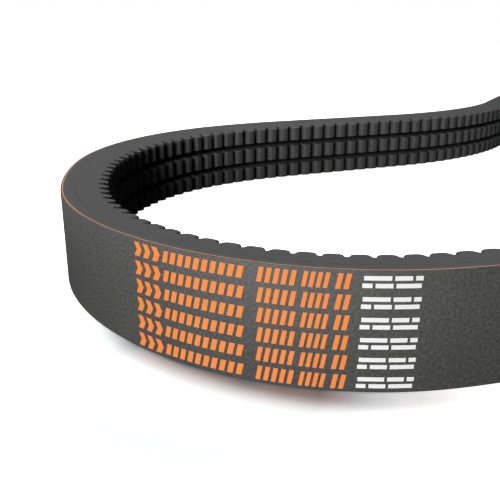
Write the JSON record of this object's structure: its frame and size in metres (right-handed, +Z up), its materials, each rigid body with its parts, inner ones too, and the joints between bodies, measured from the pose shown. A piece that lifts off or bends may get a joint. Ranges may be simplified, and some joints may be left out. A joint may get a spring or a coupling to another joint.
{
  "type": "v belt",
  "caption": "Endless banded cogged V belt: ribs joined by a flat tie band, lying as a bent loop on its cut edge.",
  "frame": {"origin": "middle of the loop's footprint, on the surface that the lower cut edge stands on", "axes": "+Z up, across the belt's width; X and Y lie in the plane of the loop, +X along its longer extent"},
  "size_m": [0.8932, 0.7825, 0.0542],
  "materials": {
    "cover_rubber": "matt",
    "orange_gum": "matt",
    "band_rubber": "matt",
    "cord_fabric": "matt",
    "rib_rubber": "matt, textured"
  },
  "bodies": {
    "root": {"back_cover": "cover_rubber", "gum_ply": "orange_gum", "tie_band_ply": "band_rubber", "overcord_rubber": "band_rubber", "tensile_cord_ply": "cord_fabric", "lower_cogged_rib": "rib_rubber", "middle_cogged_rib": "rib_rubber", "upper_cogged_rib": "rib_rubber"}
  },
  "joints": []
}
